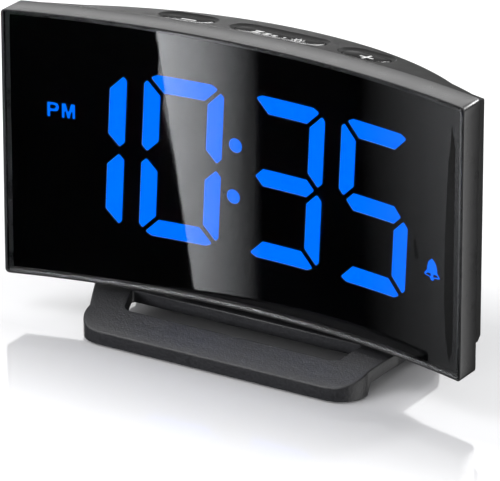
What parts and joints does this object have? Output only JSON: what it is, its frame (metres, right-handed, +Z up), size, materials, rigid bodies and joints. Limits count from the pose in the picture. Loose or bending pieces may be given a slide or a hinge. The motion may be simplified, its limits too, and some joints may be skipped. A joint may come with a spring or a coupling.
{
  "type": "digital alarm clock",
  "caption": "Alarm clock with a wide bent display, seven-segment digits, a round-backed housing with top buttons, and a low slotted stand.",
  "frame": {"origin": "middle of the footprint, on the surface the clock stands on", "axes": "+X to the right of a reader facing the display, +Y towards the back, +Z up"},
  "size_m": [0.168, 0.058, 0.1022],
  "materials": {
    "frame_plastic": "satin black moulding",
    "smoked_lens": "smoked, polished",
    "mask_print": "black print",
    "lit_blue": "lit diffuser",
    "idle_grey": "unlit diffuser",
    "reflector_white": "white moulding",
    "circuit_board": "solder mask",
    "chip_black": "moulded",
    "led_white": "clear",
    "housing_plastic": "fine satin grain",
    "button_plastic": "satin",
    "switch_black": "moulded",
    "nickel": "plated",
    "screw_steel": "black zinc",
    "stand_plastic": "leather-like grain",
    "foot_rubber": "matte",
    "ribbon_grey": "flat"
  },
  "bodies": {
    "clock": {"front_frame": "frame_plastic", "lens_panel": "smoked_lens", "lens_mask": "mask_print", "hour_tens_diffusers": "lit_blue", "hour_ones_diffusers": "lit_blue", "minute_tens_diffusers": "lit_blue", "minute_ones_diffusers": "lit_blue", "colon_diffusers": "lit_blue", "idle_diffusers": "idle_grey", "meridiem_diffuser": "lit_blue", "bell_diffuser": "lit_blue", "display_reflector": "reflector_white", "display_board": "circuit_board", "led_chips": "led_white", "rear_housing": "housing_plastic", "key_switches": "switch_black", "key_board": "circuit_board", "rear_switches": "switch_black", "main_board": "circuit_board", "board_parts": "chip_black", "ribbon_cable": "ribbon_grey", "power_socket": "chip_black", "socket_pin": "nickel", "buzzer": "chip_black", "coin_cell": "nickel", "cell_holder": "switch_black", "cell_contacts": "nickel", "board_screws": "screw_steel", "housing_screws": "screw_steel", "stand": "stand_plastic", "stand_screws": "screw_steel", "rubber_feet": "foot_rubber"},
    "minus": {"minus_button": "button_plastic", "minus_plunger": "button_plastic"},
    "snooze": {"snooze_button": "button_plastic", "snooze_plunger": "button_plastic"},
    "plus": {"plus_button": "button_plastic", "plus_plunger": "button_plastic"},
    "set": {"set_button": "button_plastic", "set_plunger": "button_plastic"},
    "alarm": {"alarm_button": "button_plastic", "alarm_plunger": "button_plastic"},
    "door": {"battery_door": "button_plastic"}
  },
  "joints": [
    {"name": "minus_press", "type": "slide", "parent": "clock", "child": "minus", "axis": [0.017, -0.1555, -0.9877], "range_m": [0, 0.0006], "stiffness_N_per_m": 1200, "springref_m": -0.0002},
    {"name": "snooze_press", "type": "slide", "parent": "clock", "child": "snooze", "axis": [0, -0.1564, -0.9877], "range_m": [0, 0.0006], "stiffness_N_per_m": 1200, "springref_m": -0.0002},
    {"name": "plus_press", "type": "slide", "parent": "clock", "child": "plus", "axis": [-0.017, -0.1555, -0.9877], "range_m": [0, 0.0006], "stiffness_N_per_m": 1200, "springref_m": -0.0002},
    {"name": "set_press", "type": "slide", "parent": "clock", "child": "set", "axis": [0, -1, 0], "range_m": [0, 0.0006], "stiffness_N_per_m": 1200, "springref_m": -0.0002},
    {"name": "alarm_press", "type": "slide", "parent": "clock", "child": "alarm", "axis": [0, -1, 0], "range_m": [0, 0.0006], "stiffness_N_per_m": 1200, "springref_m": -0.0002},
    {"name": "door_turn", "type": "hinge", "parent": "clock", "child": "door", "pos_m": [0, 0.0281, 0.054], "axis": [0, 1, 0], "range_deg": [0, 40]}
  ]
}
